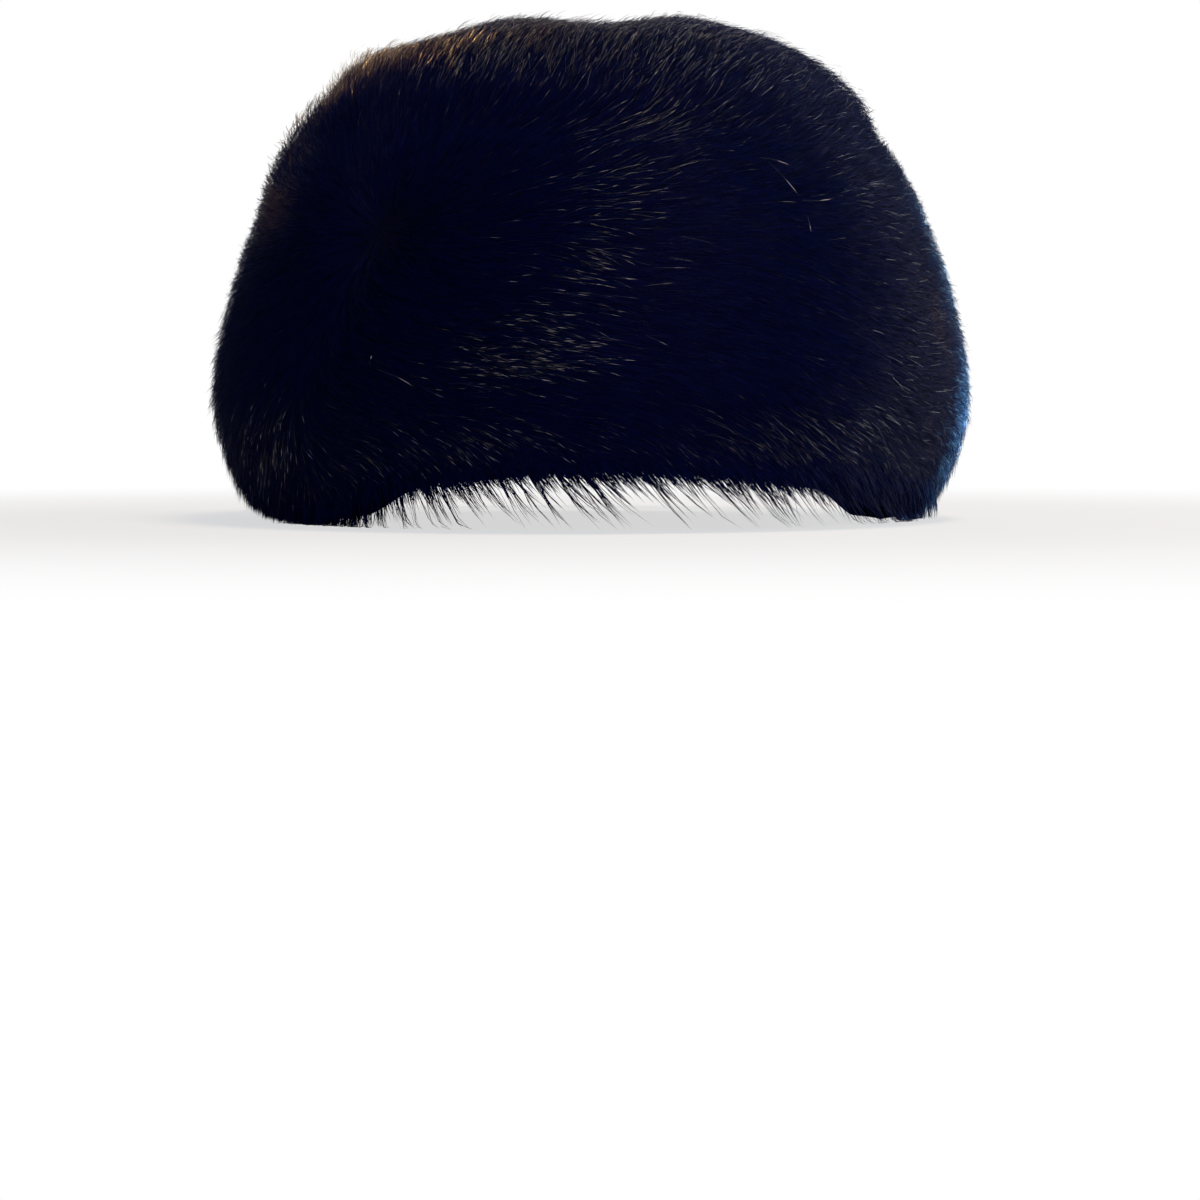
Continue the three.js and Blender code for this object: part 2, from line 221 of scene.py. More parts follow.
def cloud(cells, seed):
    """Soft random patches over the map, from -1 to 1."""
    knots = np.random.default_rng(seed).uniform(-1, 1, (cells + 2, cells + 2))
    spot = (map_axis + MAP_EDGE) / (2 * MAP_EDGE) * cells
    i = np.minimum(spot.astype(int), cells)
    t = ease(spot - i, 0, 1)
    rows = knots[i] * (1 - t[:, None]) + knots[i + 1] * t[:, None]
    return rows[:, i] * (1 - t) + rows[:, i + 1] * t


swirl_map = 0.14 * cloud(12, 3) + 0.05 * cloud(34, 4)  # broad and fine swirls, in radians
lift_map = 0.5 * cloud(14, 6) + 0.5 * cloud(30, 7)  # broad and fine waves of the coat, from -1 to 1
print("swirls turn the hair by up to", round(math.degrees(np.abs(swirl_map).max())), "degrees")

# %% [markdown]
# ## The lie of the hair
# On this hat the hair parts at a whorl on the front left. It sweeps round both sides, falls at the back
# and lies backwards over the crown. The lie is built from three simple flows that are blended by level
# and by angle: away from the whorl, down, and straight back.

# %% Lie of the hair on the map
WHORL_AZIMUTH, WHORL_LEVEL = math.radians(-35), 0.6
WHORL_REACH = 24  # in millimetres; the combing is weaker inside it
PARTING_DRIFT = math.radians(-50)  # how far round the parting moves below it, over a whole level
BAND_RADIUS = 105
LEFT_FROM, FAR_RIGHT = (-0.12, 0.2), (1.3, 1.9)  # radians from the parting, left and right of it
FRONT_SLOPE, FAR_RIGHT_SLOPE, LEFT_SLOPE = 0.40, -0.18, 2.6  # steepest lie, and what the sides add to it
PARTING_HALF = 5  # in millimetres; the parting is as steep as a place this far from it
SIDE_DROP, SIDES_FROM, DROPS_BELOW = 0.26, (0.9, 1.2), (-0.04, 0.12)  # the sides hang a little more
FAR_RIGHT_DROP_LOST = 0.9  # but hardly at the far right
FALLS_FROM = math.radians(118), math.radians(168)  # behind this the hair simply falls
CROWN_LIE = math.radians(66)  # the crown lies straight back and a little to the hat's right
CROWN_ENDS = 0.34, 0.48

below = map_level - WHORL_LEVEL
turn = map_azimuth - (WHORL_AZIMUTH + np.maximum(0, below) * PARTING_DRIFT)
turn = (turn + math.pi) % (2 * math.pi) - math.pi
sweep = np.stack([turn * BAND_RADIUS, below * SECTION_LENGTH], -1)
whorl_strength = ease(np.linalg.norm(sweep, axis=-1), 0, WHORL_REACH)
far_right = ease(turn, *FAR_RIGHT)
slope = FRONT_SLOPE + FAR_RIGHT_SLOPE * far_right + LEFT_SLOPE * ease(-turn, *LEFT_FROM)
steepest = slope * (np.abs(sweep[..., 0]) + PARTING_HALF)
held_back = sweep[..., 1] * steepest / (sweep[..., 1] + steepest + TINY)
sweep[..., 1] = np.where(below > 0, held_back, sweep[..., 1])
sweep = unit(sweep, TINY)
at_side = SIDE_DROP * ease(below, *DROPS_BELOW) * ease(np.abs(turn), *SIDES_FROM)
sweep[..., 1] += at_side * (1 - FAR_RIGHT_DROP_LOST * far_right)
fall = ease(np.abs(turn), *FALLS_FROM)[..., None]
sweep = unit(sweep * (1 - fall) + np.array([0, 1]) * fall, TINY)
print("whorl at level", WHORL_LEVEL, "azimuth", round(math.degrees(WHORL_AZIMUTH)))

# %% Flows of the band and the crown, joined
around = np.stack([np.cos(map_azimuth), np.sin(map_azimuth)], -1)
down = np.stack([map_x, map_y], -1) / np.maximum(map_level, 1e-3)[..., None]
round_band = around * (sweep[..., :1] * map_level[..., None] / BAND_RADIUS)
band_lie = round_band + down * sweep[..., 1:] / SECTION_LENGTH
crown_lie = np.array([math.cos(CROWN_LIE), math.sin(CROWN_LIE)]) / SECTION_LENGTH
crown_share = 1 - ease(map_level, *CROWN_ENDS)[..., None]
lie = band_lie * (1 - crown_share) + crown_lie * crown_share
lie_strength = np.maximum(whorl_strength, crown_share[..., 0])

lie_3d = lie[..., :1] * along_x + lie[..., 1:] * along_y
lie_speed = np.linalg.norm(lie_3d, axis=-1, keepdims=True) + TINY
lie_3d /= lie_speed
lie_step = lie / lie_speed  # step on the map for 1 mm on the skin along the lie
side_3d = np.cross(out_map, lie_3d)
xx, yy, xy = (np.sum(p * q, -1) for p, q in ((along_x, along_x), (along_y, along_y), (along_x, along_y)))
sx, sy = np.sum(side_3d * along_x, -1), np.sum(side_3d * along_y, -1)
determinant = np.maximum(xx * yy - xy**2, 1e-6)
side_step = np.stack([yy * sx - xy * sy, xx * sy - xy * sx], -1) / determinant[..., None]  # and across it
print("the crown's own lie covers", round(100 * float((crown_share > 0.5).mean())), "% of the map")

# %% [markdown]
# ## Where the fur has pale tips and painted sheen
# The tips of a dyed fur wear paler where it is rubbed, and the same pale tips are a painted sheen where
# light strikes the coat: over the edge of the crown, on the right and low on the band. The share of
# pale-tipped hairs could be painted, but a few soft patches on the flat map say it in numbers. The patches
# are broken up a little, so that their edges don't show.

# %% Pale tips and painted sheen
PALE_TIPS_AND_SHEEN = [  # azimuth, level, reach round the hat in degrees, reach down it, share
    (-6, 0.32, 36, 0.115, 0.90),
    (28, 0.30, 26, 0.10, 0.70),
    (64, 0.44, 18, 0.12, 0.44),
    (64, 0.74, 18, 0.26, 0.93),
    (26, 0.915, 23, 0.075, 0.80),
    (-50, 0.92, 16, 0.06, 0.76),
    (-15, 0.935, 20, 0.045, 0.68),
    (180, 0.42, 50, 0.20, 0.80),
    (172, 0.82, 36, 0.10, 0.70),
    (120, 0.62, 26, 0.24, 0.84),
    (-136, 0.55, 24, 0.22, 0.80),
]
pale_tip_and_sheen_map = np.zeros_like(map_level)
for patch_azimuth, patch_level, reach_round, reach_down, share in PALE_TIPS_AND_SHEEN:
    away_round = (np.degrees(map_azimuth) - patch_azimuth + 180) % 360 - 180
    near = np.exp(-((away_round / reach_round) ** 2) - ((map_level - patch_level) / reach_down) ** 2)
    pale_tip_and_sheen_map = np.maximum(pale_tip_and_sheen_map, share * near)
pale_tip_and_sheen_map *= 0.90 + 0.22 * cloud(26, 9)  # breaks the patches up
print("largest share of pale-tipped, sheen-painted hairs", round(float(pale_tip_and_sheen_map.max()), 2))

# %% [markdown]
# ## Materials
# Dyed black fur isn't evenly black. The underfur is dull, the guard hairs are glossy, and their tips,
# which take less dye, keep some brown. Each hair carries two numbers: how far along it a point is, and
# its own tone. A small node group turns them into a colour, with a painted glint as a pale dash where the
# tone is high, and all the hairs and the wool share it.

# %% Helpers for node groups


def set_inputs(node, values):
    """A node with some of its inputs set."""
    for socket, value in values.items():
        node.inputs[socket].default_value = value
    return node


def smooth_range(nodes, low, high, at_low=0.0, at_high=1.0):
    """A node that goes gently from one value at the low end to another at the high end."""
    made = nodes.new("ShaderNodeMapRange")
    made.interpolation_type = "SMOOTHSTEP"
    return set_inputs(made, {"From Min": low, "From Max": high, "To Min": at_low, "To Max": at_high})


def wire(tree, *rows):
    """Links, each from a node's output to a node's input."""
    for source, output, target, socket in rows:
        tree.links.new(source.outputs[output], target.inputs[socket])


def new_group(name, inputs, outputs):
    """A node group with named sockets. An input whose value is a tuple is a colour."""
    group = bpy.data.node_groups.new(name, "ShaderNodeTree")
    for label, value in inputs.items():
        kind = "NodeSocketColor" if isinstance(value, tuple) else "NodeSocketFloat"
        group.interface.new_socket(name=label, in_out="INPUT", socket_type=kind).default_value = value
    for label, kind in outputs.items():
        group.interface.new_socket(name=label, in_out="OUTPUT", socket_type=kind)
    print("node group", name, "takes", list(inputs), "and gives", list(outputs))
    return group, group.nodes.new("NodeGroupInput"), group.nodes.new("NodeGroupOutput")


# %% Shared colour of a hair
TIP_STARTS = 0.3  # share of a hair where its tip colour sets in
GLINT_DASH_CENTRE, GLINT_DASH_FADES = 0.70, (0.06, 0.20)  # the pale dash along a hair, a painted glint, and how far off it fades


def hair_colour_group():
    """Colour of a hair: dark at the root, paler to the tip, and a pale dash, a painted glint, where its
    tone is high.
    """
    numbers = {"Along": 0.5, "Tone": 0.5, "Pale from": 0.95}
    colours = dict.fromkeys(("Root colour", "Tip colour", "Pale colour"), (0.01, 0.01, 0.01, 1))
    group, into, out = new_group("hair colour", {**numbers, **colours}, {"Colour": "NodeSocketColor"})
    nodes = group.nodes
    to_tip, glint_dash = smooth_range(nodes, TIP_STARTS, 1.0), smooth_range(nodes, *GLINT_DASH_FADES, 1.0, 0.0)
    dark, pale, paleness = (nodes.new("ShaderNode" + kind) for kind in ("Mix", "Mix", "MapRange"))
    dark.data_type = pale.data_type = "RGBA"
    off_centre, off_size, strength = (nodes.new("ShaderNodeMath") for _ in range(3))
    off_centre.operation, off_size.operation, strength.operation = "SUBTRACT", "ABSOLUTE", "MULTIPLY"
    off_centre.inputs[1].default_value = GLINT_DASH_CENTRE
    wire(
        group,
        (into, "Along", to_tip, "Value"),
        (to_tip, "Result", dark, "Factor"),
        (into, "Root colour", dark, "A"),
        (into, "Tip colour", dark, "B"),
        (into, "Along", off_centre, 0),
        (off_centre, "Value", off_size, 0),
        (off_size, "Value", glint_dash, "Value"),
        (into, "Tone", paleness, "Value"),
        (into, "Pale from", paleness, "From Min"),
        (paleness, "Result", strength, 0),
        (glint_dash, "Result", strength, 1),
        (strength, "Value", pale, "Factor"),
        (dark, "Result", pale, "A"),
        (into, "Pale colour", pale, "B"),
        (pale, "Result", out, "Colour"),
    )
    return group


hair_colour = hair_colour_group()

# %% Shared grain of wool and cloth


def grain_group():
    """Fine noise, as a value for the colour and as a bump."""
    group, into, out = new_group(
        "grain",
        {"Scale": 1000, "Detail": 6, "Depth": 0.0005},
        {"Grain": "NodeSocketFloat", "Normal": "NodeSocketVector"},
    )
    noise, bump = group.nodes.new("ShaderNodeTexNoise"), group.nodes.new("ShaderNodeBump")
    wire(
        group,
        (into, "Scale", noise, "Scale"),
        (into, "Detail", noise, "Detail"),
        (into, "Depth", bump, "Distance"),
        (noise, "Fac", bump, "Height"),
        (noise, "Fac", out, "Grain"),
        (bump, "Normal", out, "Normal"),
    )
    return group


grain = grain_group()

# %% [markdown]
# ## Three kinds of hair, the wool and the cloth
# Guard hairs are dark and only a little glossy. The pale and the brown ones shine more and take another
# colour, which is painted light: a glint on the pale ones and a glow on the brown ones. The wool under them
# and the cloth of the cap are dull, and a fine noise gives both their grain, as colour and as bump.
# Photographs of fur could be laid on instead, but a noise keeps its scale from close by and has no seams.

# %% Materials of the hairs


def new_material(name):
    """A material with its node tree and its shader."""
    material = bpy.data.materials.new(name)
    material.use_nodes = True
    print("material", name)
    return material, material.node_tree, material.node_tree.nodes["Principled BSDF"]


def placed_group(tree, group, values):
    """A node group placed in a material with its own values."""
    placed = tree.nodes.new("ShaderNodeGroup")
    placed.node_tree = group
    return set_inputs(placed, values)


def attribute(tree, name):
    """One of the numbers that each hair carries."""
    node = tree.nodes.new("ShaderNodeAttribute")
    node.attribute_name = name
    return node


def hair_material(name, root, tip, pale, pale_from, roughness, gloss):
    """A glossy hair. Its roughness changes a little from hair to hair."""
    material, tree, shader = new_material(name)
    colours = {"Root colour": (*root, 1), "Tip colour": (*tip, 1), "Pale colour": (*pale, 1)}
    colour = placed_group(tree, hair_colour, {**colours, "Pale from": pale_from})
    along, tone = attribute(tree, "along"), attribute(tree, "tone")
    spread = tree.nodes.new("ShaderNodeMapRange")
    set_inputs(spread, {"To Min": roughness[0], "To Max": roughness[1]})
    wire(
        tree,
        (along, "Fac", colour, "Along"),
        (tone, "Fac", colour, "Tone"),
        (colour, "Colour", shader, "Base Color"),
        (tone, "Fac", spread, "Value"),
        (spread, "Result", shader, "Roughness"),
    )
    set_inputs(shader, {"Specular IOR Level": gloss})
    return material


HAIR_KINDS = [  # name, colours at root, tip and of the pale dash, which is painted light, tone from which the dash shows, roughness, gloss
    ("guard hair", (0.0003, 0.0016, 0.028), (0.0009, 0.0056, 0.051), (0.125, 0.078, 0.055), 0.90,
     (0.36, 0.55), 0.035),
    ("glint-painted guard hair", (0.0006, 0.001, 0.006), (0.006, 0.006, 0.012), (0.72, 0.57, 0.43), 0.0,
     (0.28, 0.42), 0.4),
    ("brown guard hair", (0.003, 0.002, 0.003), (0.020, 0.012, 0.007), (0.27, 0.145, 0.06), 0.0,
     (0.3, 0.45), 0.35),
]
guard_hair, glint_painted_hair, brown_hair = (hair_material(*row) for row in HAIR_KINDS)

# %% Materials of the wool and the cloth


def underfur_material():
    """Dull wool with painted shade, darker in the hollows of its grain."""
    material, tree, shader = new_material("underfur")
    wool = placed_group(tree, grain, {"Scale": 900, "Detail": 6, "Depth": 0.0008})
    colours = {"Root colour": (0.0004, 0.0009, 0.010, 1), "Tip colour": (0.0006, 0.0020, 0.030, 1)}
    colour = placed_group(tree, hair_colour, {**colours, "Tone": 0.2})
    set_inputs(shader, {"Roughness": 0.9, "Specular IOR Level": 0.1})
    wire(
        tree,
        (wool, "Grain", colour, "Along"),
        (colour, "Colour", shader, "Base Color"),
        (wool, "Normal", shader, "Normal"),
    )
    return material


def cap_material():
    """Dark cloth with a soft sheen, like thin felt."""
    material, tree, shader = new_material("cap cloth")
    felt = placed_group(tree, grain, {"Scale": 1400, "Detail": 8, "Depth": 0.0004})
    ramp = tree.nodes.new("ShaderNodeValToRGB")
    ramp.color_ramp.elements[0].color = (0.010, 0.010, 0.012, 1)
    ramp.color_ramp.elements[1].color = (0.060, 0.056, 0.058, 1)
    set_inputs(shader, {"Roughness": 0.85, "Sheen Weight": 0.15})
    wire(
        tree,
        (felt, "Grain", ramp, "Fac"),
        (ramp, "Color", shader, "Base Color"),
        (felt, "Normal", shader, "Normal"),
    )
    return material


underfur, cap_cloth = underfur_material(), cap_material()

# %% [markdown]
# ## The cap and the bed of underfur
# Both are closed shells that are swept round the hat: a row of points for each level and a column for
# each angle. A solid shell of dark wool under the hairs keeps light from falling through, as the dense
# underfur does on a real pelt.

# %% Objects and pieces
pieces = []


def new_object(name, data):
    """An object in the scene from a mesh, a lamp or a camera."""
    made = bpy.data.objects.new(name, data)
    bpy.context.scene.collection.objects.link(made)
    return made


def triangle_count(mesh):
    """Triangles in a mesh once its faces are cut into them."""
    return len(mesh.loops) - 2 * len(mesh.polygons)


def new_piece(name, mesh, material, node):
    """A piece of the hat, which stands for one of its solids."""
    mesh.materials.append(material)
    made = new_object(name, mesh)
    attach(made, "root")
    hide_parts(node)
    pieces.append(made)
    print(name, len(mesh.vertices), "points,", triangle_count(mesh), "triangles")


# %% Closed shells from rings of points


def shell_piece(name, rings, poles, material, node):
    """A closed mesh from rings of points, shut at each end by a pole or joined last to first."""
    count, columns = rings.shape[:2]
    points = rings.reshape(-1, 3)
    grid = np.arange(count * columns).reshape(count, columns)
    turned = np.roll(grid, -1, axis=1)
    if poles is None:
        a, b, c, d = grid, np.roll(grid, -1, 0), np.roll(turned, -1, 0), turned
    else:
        a, b, c, d = grid[:-1], grid[1:], turned[1:], turned[:-1]
    faces = np.stack([a, b, c, d], -1).reshape(-1, 4).tolist()
    if poles is not None:
        points = np.vstack([points, poles])
        first, last = len(points) - 2, len(points) - 1
        faces += [[first, int(p), int(q)] for p, q in zip(grid[0], turned[0])]
        faces += [[last, int(q), int(p)] for p, q in zip(grid[-1], turned[-1])]
    mesh = bpy.data.meshes.new(name)
    mesh.from_pydata((points * MM).tolist(), [], faces)
    mesh.polygons.foreach_set("use_smooth", [True] * len(faces))
    new_piece(name, mesh, material, node)


def ring_of(rows, levels, azimuths, dent_share=1.0):
    """Rings of one skin, one for each level."""
    level, azimuth = np.meshgrid(levels, azimuths, indexing="ij")
    return skin(rows, level, azimuth, dent_share)


TOP_LEVEL = 0.012  # of the first ring round the top
columns = np.linspace(0, 2 * math.pi, 181)[:-1]
levels = np.linspace(TOP_LEVEL, 1, 60)
cap_rings = np.concatenate(
    [ring_of(cap_rows, levels, columns, CAP_SHARE), ring_of(inside_rows, levels[::-1], columns, CAP_SHARE)]
)
tops = [skin(rows, np.zeros(1), np.zeros(1), CAP_SHARE)[0] for rows in (cap_rows, inside_rows)]
shell_piece("cap_shell", cap_rings, tops, cap_cloth, "cap")

# %% Beds of underfur
CROWN_BED, BAND_BED, BED_INNER = 0.67, 0.75, 0.06  # shares of the fur's depth
FOOT_BED = 0.88  # the bed is thicker at the foot, where it shows
BED_LUMPS = 0.05
SEAM_GAP = 0.002  # in levels, each side of the seam


def in_crown(points):
    """Whether points are above the seam, which is tilted a little."""
    return points[..., 2] > SEAM_HEIGHT + points[..., 0] * math.tan(SEAM_TILT)


def seam_level(azimuths):
    """Level at which the seam between crown and band runs."""
    tries = np.linspace(0.3, 0.7, 200)
    above = in_crown(ring_of(fur_rows, tries, azimuths))
    return tries[above.sum(0).clip(0, len(tries) - 1)]


def bed_part(levels_table, height):
    """Rings of the outside or the inside of a bed, between the cap and the tips of the fur."""
    is_outside = height > BED_INNER
    azimuths = np.broadcast_to(columns, levels_table.shape)
    places = on_map(levels_table, azimuths).reshape(-1, 2)
    lumps = look(lift_map, places).reshape(levels_table.shape) * BED_LUMPS * is_outside
    near_foot = ease(levels_table, 0.9, 1)
    share = (height + lumps) * (1 - near_foot) + (FOOT_BED if is_outside else BED_INNER) * near_foot
    inner = skin(cap_rows, levels_table, azimuths, CAP_SHARE)
    outer = skin(fur_rows, levels_table, azimuths)
    return inner * (1 - share[..., None]) + outer * share[..., None]


seam = seam_level(columns)
print("seam between levels", seam.min().round(3), "and", seam.max().round(3))

# %% Underfur of the crown and the band
EDGE_GAP = 0.3  # between the cap's edge and the wool that wraps it, in millimetres
steps = np.linspace(0, 1, 40)[:, None]
crown_levels = TOP_LEVEL + (seam - SEAM_GAP - TOP_LEVEL) * steps
crown_rings = np.concatenate([bed_part(crown_levels, CROWN_BED), bed_part(crown_levels[::-1], BED_INNER)])
crown_tops = [bed_part(np.zeros((1, len(columns))), height)[0, 0] for height in (CROWN_BED, BED_INNER)]
shell_piece("crown_underfur", crown_rings, crown_tops, underfur, "crown_fur")

band_levels = seam + SEAM_GAP + (1 - seam - SEAM_GAP) * steps
edge_radius = inside_rows[-1, 0] + EDGE_GAP
edge_across = edge_radius * np.sin(columns) * (1 - EGG * np.cos(columns))
edge_back = -edge_radius * DEPTH_TO_WIDTH * np.cos(columns)
foot_edge = np.stack([edge_across, edge_back, rim_rise(columns)], -1)
under_cap = foot_edge + np.array([0, 0, cap_rows[-1, 1] - EDGE_GAP])
band_rings = np.concatenate(
    [bed_part(band_levels, BAND_BED), [foot_edge, under_cap], bed_part(band_levels[-2::-1], BED_INNER)]
)
shell_piece("side_band_underfur", band_rings, None, underfur, "side_band_fur")

# %% [markdown]
# ## Guard hairs
# A hair could be a curve with a thickness, but a quarter of a million of them are lighter as narrow
# ribbons of a few faces. Each ribbon carries the normals of a round hair, so it catches the light as a
# thin cylinder would. Hairs grow in small clumps whose tips lean together. All of them are traced over
# the map at once: each step follows the lie at that place, lifts a little and bends with the clump.

# %% Where the clumps grow
GOLDEN_ANGLE = math.pi * (3 - math.sqrt(5))
CLUMPS, HAIRS_IN_CLUMP = 31400, 8
LAST_LEVEL = 0.975


def clump_places(count):
    """Evenly spread places on the map: a sunflower pattern, stretched so that each has the same area."""
    tries = np.linspace(0, LAST_LEVEL, 400)
    area = np.cumsum(curve_at(fur_rows, tries)[:, 0])
    level = np.interp((np.arange(count) + 0.5) / count, area / area[-1], tries)
    angles = np.linspace(0, 2 * math.pi, 721)
    arc = np.cumsum(np.hypot(np.cos(angles), DEPTH_TO_WIDTH * np.sin(angles)))
    turns = (np.arange(count) * GOLDEN_ANGLE / (2 * math.pi)) % 1
    return on_map(level, np.interp(turns, (arc - arc[0]) / (arc[-1] - arc[0]), angles))


coat_places = clump_places(CLUMPS)
print(CLUMPS, "clumps of", HAIRS_IN_CLUMP, "hairs")

# %% Tracing hairs over the map
HANG_FROM = 0.88  # hairs hang below this level
HANG_EASE = 0.05, 0.06  # above and below it
HANG, HANG_MORE = 0.25, 0.3  # pull downwards, and what each step adds to it
COMBED_UP = 0.6  # share of that pull which the combed front and right don't feel
COMBED_FROM_LEFT, COMBED_FROM_BACK = (-0.45, 0.1), (-0.1, 0.2)  # where that sets in on the map
RISE_LOST = 0.24  # a hair lies flatter towards its tip by this angle
WHORL_RISE = 0.5  # angle at which hairs stand in the middle of the whorl
WEAKEST_LIE = 0.05


def turned_by(first, second, angle):
    """Directions that are turned by an angle from the first towards the second."""
    return first * np.cos(angle)[:, None] + second * np.sin(angle)[:, None]


def trace(places, root, lengths, swing, rise, segments):
    """Points along each hair, in millimetres. root is the share of the fur's depth where it starts."""
    inner, outer = look(cap_map, places), look(fur_map, places)
    point = inner * (1 - root[:, None]) + outer * root[:, None]
    line = [point]
    place = places.copy()
    step = lengths / segments
    for k in range(segments):
        level = np.linalg.norm(place, axis=1)
        held = place * np.minimum(1, HANG_FROM / np.maximum(level, 1e-6))[:, None]
        at = np.where((level > HANG_FROM)[:, None], held, place)
        strength = np.clip(look(lie_strength, at), WEAKEST_LIE, 1)
        angle = swing + look(swirl_map, at)
        flat = turned_by(look(lie_3d, at), look(side_3d, at), angle)
        elevation = (rise - RISE_LOST * k / segments) * strength + WHORL_RISE * (1 - strength)
        heading = turned_by(flat, look(out_map, at), elevation)
        combed = COMBED_UP * ease(place[:, 0], *COMBED_FROM_LEFT) * ease(-place[:, 1], *COMBED_FROM_BACK)
        hanging = ease(level, HANG_FROM - HANG_EASE[0], HANG_FROM + HANG_EASE[1])
        heading[:, 2] -= hanging * (HANG + HANG_MORE * k) * (1 - combed)
        point = point + unit(heading) * step[:, None]
        line.append(point)
        move = turned_by(look(lie_step, at), look(side_step, at), angle)
        place = place + move * (step * np.cos(elevation))[:, None]
    return np.stack(line, 1)


sample = trace(on_map(np.array([0.8]), np.zeros(1)), *np.array([[0.7], [8.0], [0.0], [0.16]]), 2)[0]
print("a hair low on the front runs from", sample[0].round(1), "to", sample[-1].round(1))

# %% Growing clumps of hairs
CLUMP_LENGTHS, HAIR_LENGTHS = (0.82, 1.15), (0.72, 1.12)  # shares of the length that is asked for
CLUMP_SWING, CLUMP_RISE, HAIR_RISE = 0.10, 0.05, 0.06  # how much angles vary, in radians
WAVE_RISE = 0.08  # what the waves of the coat add to the rise
FOOT_SHORTER, SHORTER_FROM = 0.40, (0.88, 0.98)  # share of their length that hairs lose at the foot
FOOT_OUTWARDS, OUTWARDS_FROM = 0.12, (0.88, 0.97)  # and how much nearer the outside they start there
GATHER_CURVE = 1.4  # a clump gathers its hairs towards their tips
DARK_TONES = 0.94  # tones of the hairs outside the pale-tip and painted-sheen patches end here


def gathered(lines, middle, share, pull):
    """Hairs pulled towards the middle one of their clump, of which each takes its own share."""
    pull = pull[None, :, None]
    target = middle[:, :1] + (middle - middle[:, :1]) * share[:, None, None]
    return lines * (1 - pull) + target * pull


def grow(places, count, length, spread, gather, roots, rise=0.16, scatter=0.12, segments=2):
    """Clumps of hairs at the places: their lines, in millimetres, and tones. Angles are in radians."""
    n = len(places)
    own_swing = rng.normal(0, CLUMP_SWING, n)
    shorter = 1 - FOOT_SHORTER * ease(np.linalg.norm(places, axis=1), *SHORTER_FROM)
    own_length = length * rng.uniform(*CLUMP_LENGTHS, n) * shorter
    own_rise = rise + rng.normal(0, CLUMP_RISE, n) + WAVE_RISE * look(lift_map, places)
    middle = trace(places, np.full(n, sum(roots) / 2), own_length, own_swing, own_rise, segments)
    of = np.repeat(np.arange(n), count)
    offset = rng.normal(0, spread, (n * count, 2))
    spots = places[of]
    spots = spots + look(lie_step, spots) * offset[:, :1] + look(side_step, spots) * offset[:, 1:]
    hair_length = own_length[of] * rng.uniform(*HAIR_LENGTHS, n * count)
    hair_rise = own_rise[of] + rng.normal(0, HAIR_RISE, n * count)
    hair_swing = own_swing[of] + rng.normal(0, scatter, n * count)
    outwards = FOOT_OUTWARDS * ease(np.linalg.norm(spots, axis=1), *OUTWARDS_FROM)
    root = rng.uniform(*roots, n * count) + outwards
    lines = trace(spots, root, hair_length, hair_swing, hair_rise, segments)
    pull = gather * (np.arange(segments + 1) / segments) ** GATHER_CURVE
    lines = gathered(lines, middle[of], hair_length / own_length[of], pull)
    return lines, 1 - (1 - look(pale_tip_and_sheen_map, spots)) * (1 - DARK_TONES * rng.uniform(0, 1, n * count))


# %% Ribbons with round normals
COAT_CENTRE = np.array([0, 0, 36])  # ribbons turn their backs to this point
ROLL = 0.6  # but not all alike: how much they roll, in radians
TAPER_AT, TAPER = [0, 0.4, 0.7, 1], [0.9, 1, 0.8, 0]
FACING, SIDEWAYS = 0.75, 0.66  # parts of the normal at a ribbon's edge
FLOOR_GAP, FLOOR_SPREAD = 0.3, 0.15  # height of hairs that lie on the surface, in millimetres


def on_floor(lines):
    """Hairs that would sink into the surface lie on it."""
    low = lines[..., 2] < FLOOR_GAP
    lines[..., 2] = np.where(low, FLOOR_GAP + FLOOR_SPREAD * (lines[..., 2] % 1.0), lines[..., 2])
    return lines


def ribbon_points(lines, width):
    """Points and normals of tapered ribbons: their left edges, their right edges and their tips."""
    n, knots = lines.shape[:2]
    tangent = unit(np.gradient(lines, axis=1), TINY)
    outwards = unit(lines[:, 1] - COAT_CENTRE)
    roll = rng.normal(0, ROLL, n)[:, None, None]
    across = unit(np.cross(tangent, outwards[:, None]), TINY)
    face = np.cross(across, tangent)
    side = across * np.cos(roll) + face * np.sin(roll)
    face = face * np.cos(roll) - across * np.sin(roll)
    taper = np.interp(np.linspace(0, 1, knots), TAPER_AT, TAPER)[:, None]
    half = (width[:, None, None] * taper[None]) / 2
    left, right = lines - side * half, lines + side * half
    round_left, round_right = face * FACING - side * SIDEWAYS, face * FACING + side * SIDEWAYS
    points = np.concatenate([left[:, :-1], right[:, :-1], lines[:, -1:]], 1)
    return points, np.concatenate([round_left[:, :-1], round_right[:, :-1], face[:, -1:]], 1)


def ribbon_triangles(segments):
    """Corners of the triangles of one ribbon."""
    triangles = []
    for k in range(segments - 1):
        triangles += [[k, segments + k, segments + k + 1], [k, segments + k + 1, k + 1]]
    return np.array([*triangles, [segments - 1, 2 * segments - 1, 2 * segments]])


print("triangles in hairs of 2 and 3 segments", [len(ribbon_triangles(count)) for count in (2, 3)])

# %% One piece from many hairs


